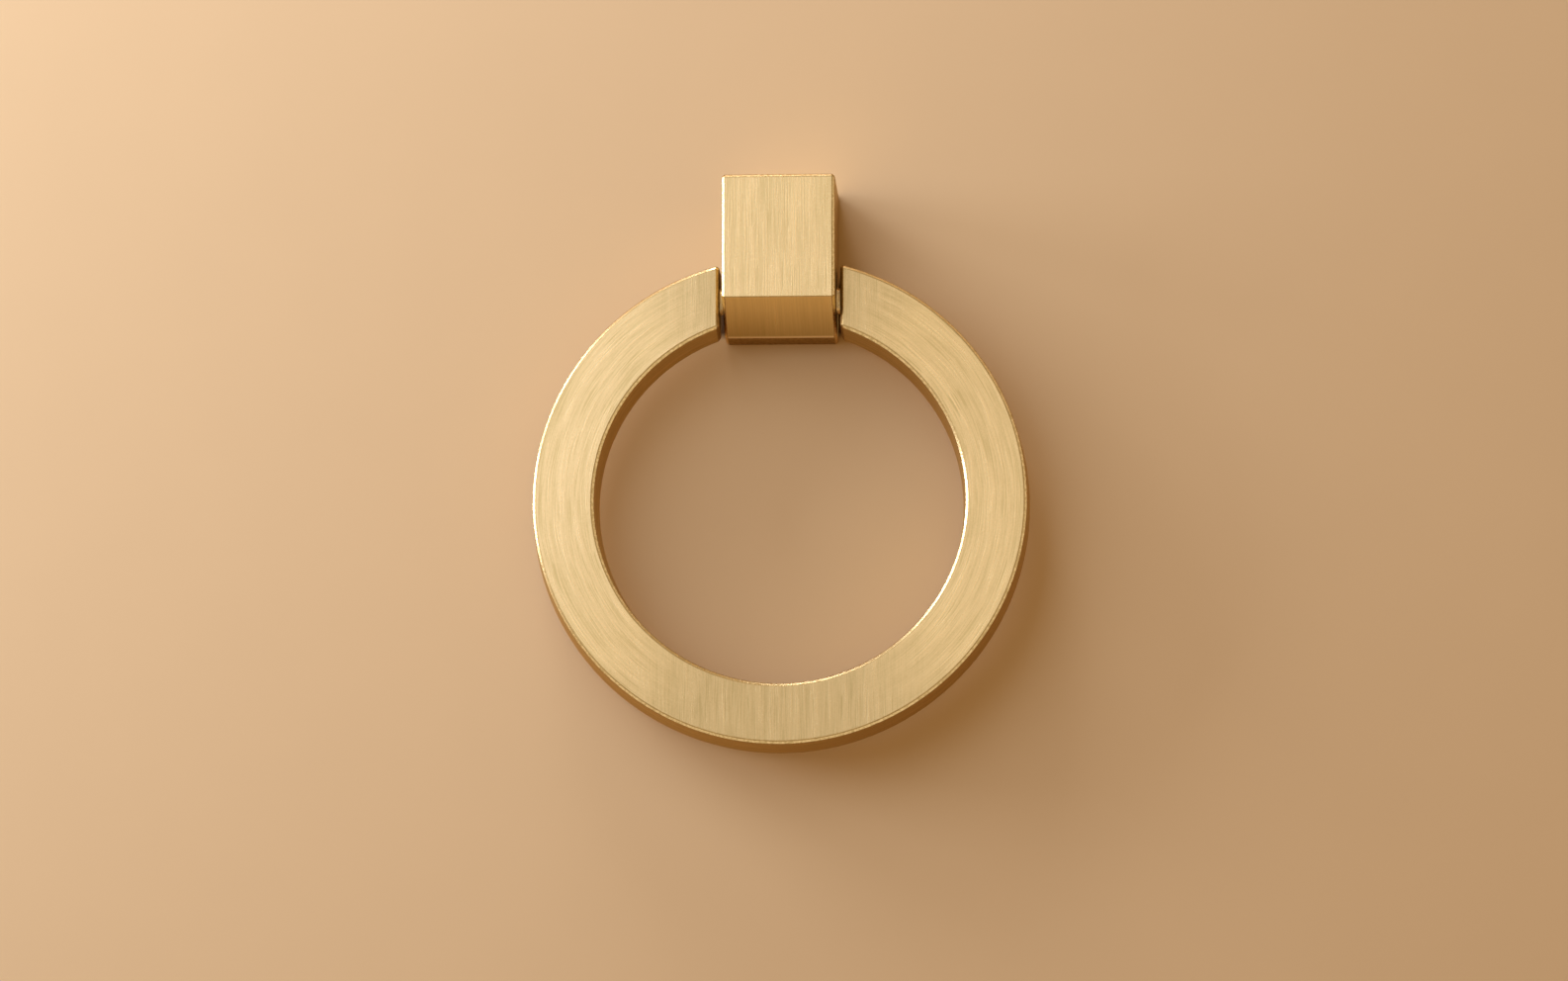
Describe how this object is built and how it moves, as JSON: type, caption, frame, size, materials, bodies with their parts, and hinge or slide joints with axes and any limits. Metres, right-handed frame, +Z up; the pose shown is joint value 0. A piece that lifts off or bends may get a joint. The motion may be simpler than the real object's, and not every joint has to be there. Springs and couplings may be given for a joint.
{
  "type": "ring pull handle",
  "caption": "Ring pull for a drawer: an open flat brass ring that hangs and swings on a pin through a square post, screwed on from behind.",
  "frame": {"origin": "middle of the mouth of the tapped screw hole, on the post's back face, which lies on the drawer front", "axes": "+Y points back into the drawer front along the screw hole, the front faces -Y, +Z is up, and +X lies along the ring's pin"},
  "size_m": [0.076, 0.0154, 0.0877],
  "materials": {
    "brushed_brass": "brushed satin",
    "turned_brass": "fine turned"
  },
  "bodies": {
    "holder": {"post": "brushed_brass", "pivot_pin": "turned_brass"},
    "swing": {"ring": "brushed_brass"}
  },
  "joints": [
    {"name": "ring_swing", "type": "hinge", "parent": "holder", "child": "swing", "pos_m": [0, -0.00675, -0.00645], "axis": [-1, 0, 0], "range_deg": [-2.4, 182.4]}
  ]
}
